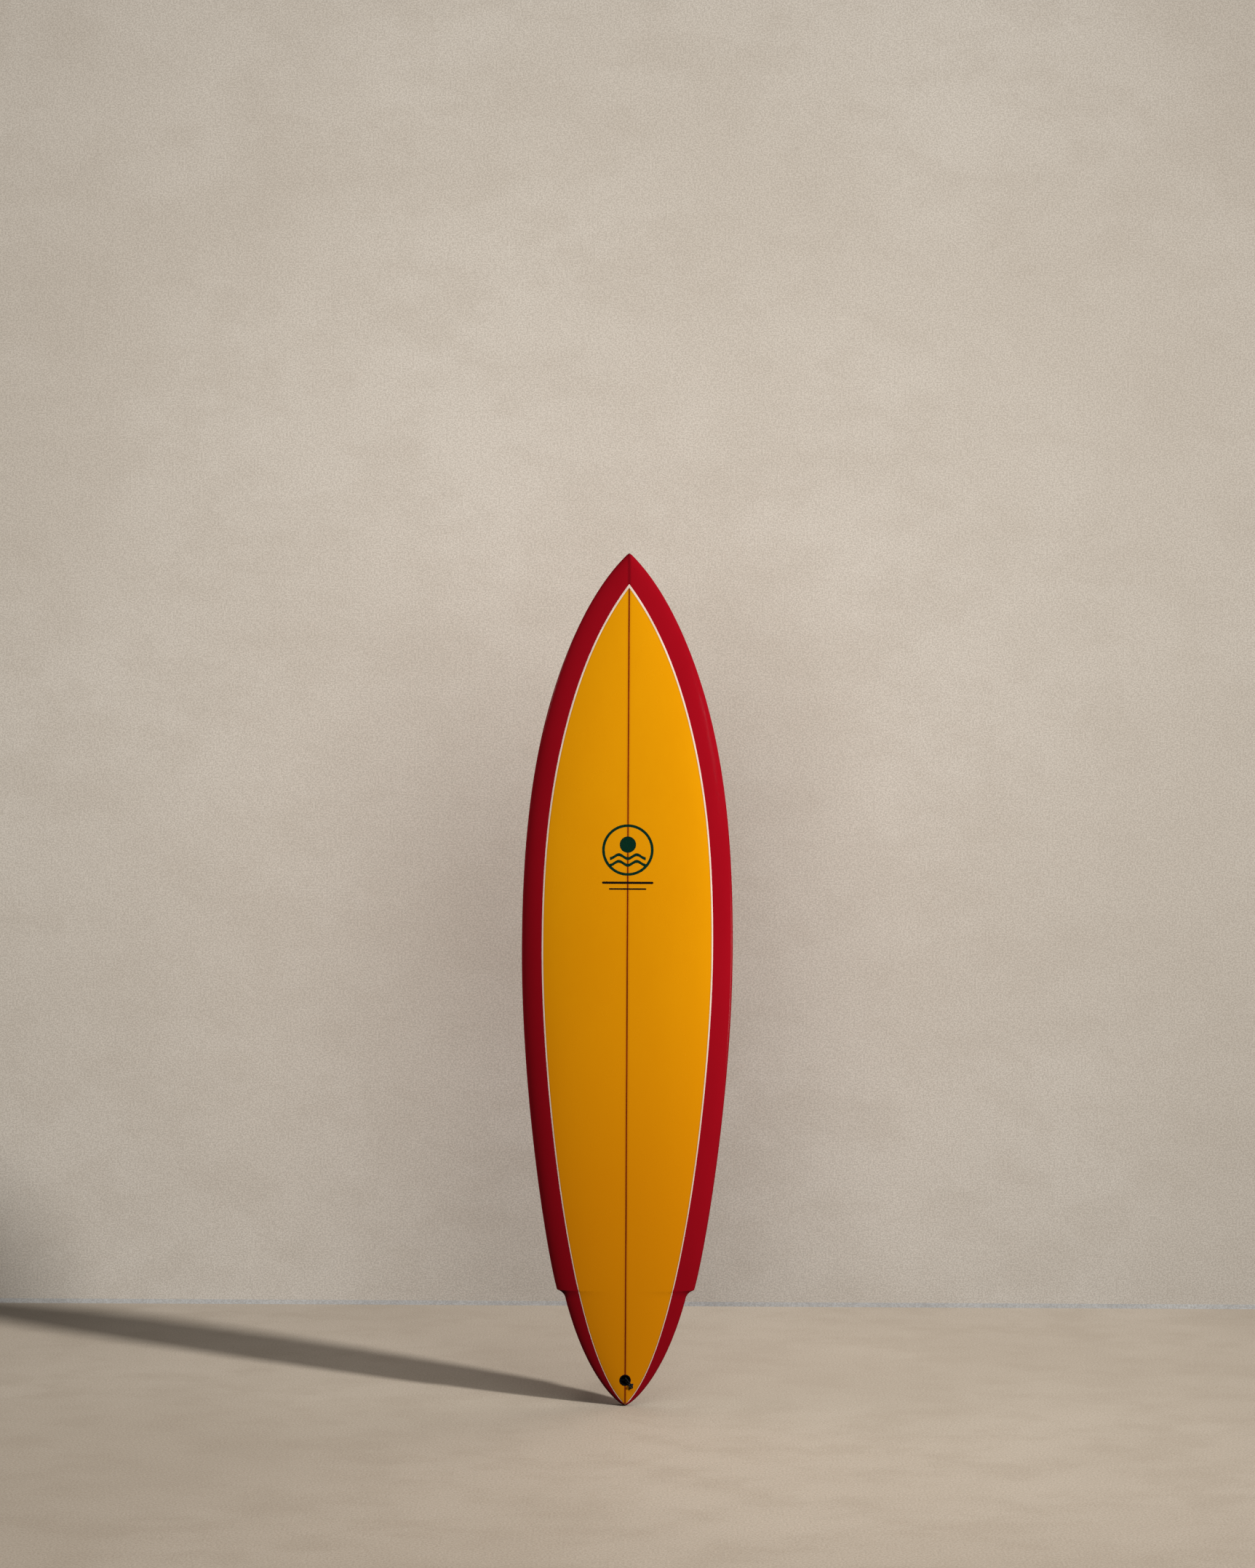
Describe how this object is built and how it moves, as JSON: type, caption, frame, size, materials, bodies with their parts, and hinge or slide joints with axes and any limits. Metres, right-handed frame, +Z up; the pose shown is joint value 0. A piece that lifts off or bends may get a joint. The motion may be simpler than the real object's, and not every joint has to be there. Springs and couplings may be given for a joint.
{
  "type": "surfboard",
  "caption": "Long single-fin surfboard with a pointed nose, small rail wings, a rounded pin tail, a leash plug with a knotted string, and a raked fin in a slotted box.",
  "frame": {"origin": "the tail tip, where the upright board meets the floor", "axes": "+Z up the board from tail to nose, +X across it, +Y out of the bottom where the fin is, so the deck faces -Y"},
  "size_m": [0.5452, 0.2967, 2.1832],
  "materials": {
    "foam": "matte",
    "stringer_wood": "matte",
    "red_laminate": "gloss",
    "yellow_laminate": "gloss",
    "pinline_white": "gloss",
    "emblem_ink": "gloss",
    "black_plastic": "satin",
    "clear_resin": "gloss",
    "leash_cord": "braided",
    "fin_glass": "gloss",
    "brass": "satin",
    "stainless": "satin"
  },
  "bodies": {
    "board": {"foam_left": "foam", "foam_right": "foam", "stringer": "stringer_wood", "bottom_laminate": "red_laminate", "deck_laminate": "yellow_laminate", "deck_pinline": "pinline_white", "deck_emblem": "emblem_ink", "leash_cup": "black_plastic", "leash_bar": "black_plastic", "leash_cup_bed": "clear_resin", "leash_string": "leash_cord", "leash_knot": "leash_cord", "fin_box": "black_plastic", "fin_box_bed": "clear_resin"},
    "fin_unit": {"fin": "fin_glass", "fin_pin": "brass", "fin_nut": "brass"},
    "screw": {"fin_screw": "stainless"}
  },
  "joints": [
    {"name": "fin_slide", "type": "slide", "parent": "board", "child": "fin_unit", "axis": [0, 0.0713, 0.9975], "range_m": [-0.034, 0.034]},
    {"name": "screw_turn", "type": "hinge", "parent": "fin_unit", "child": "screw", "pos_m": [0, 0.03416, 0.34902], "axis": [0, 0.9975, -0.0713], "continuous": true}
  ]
}
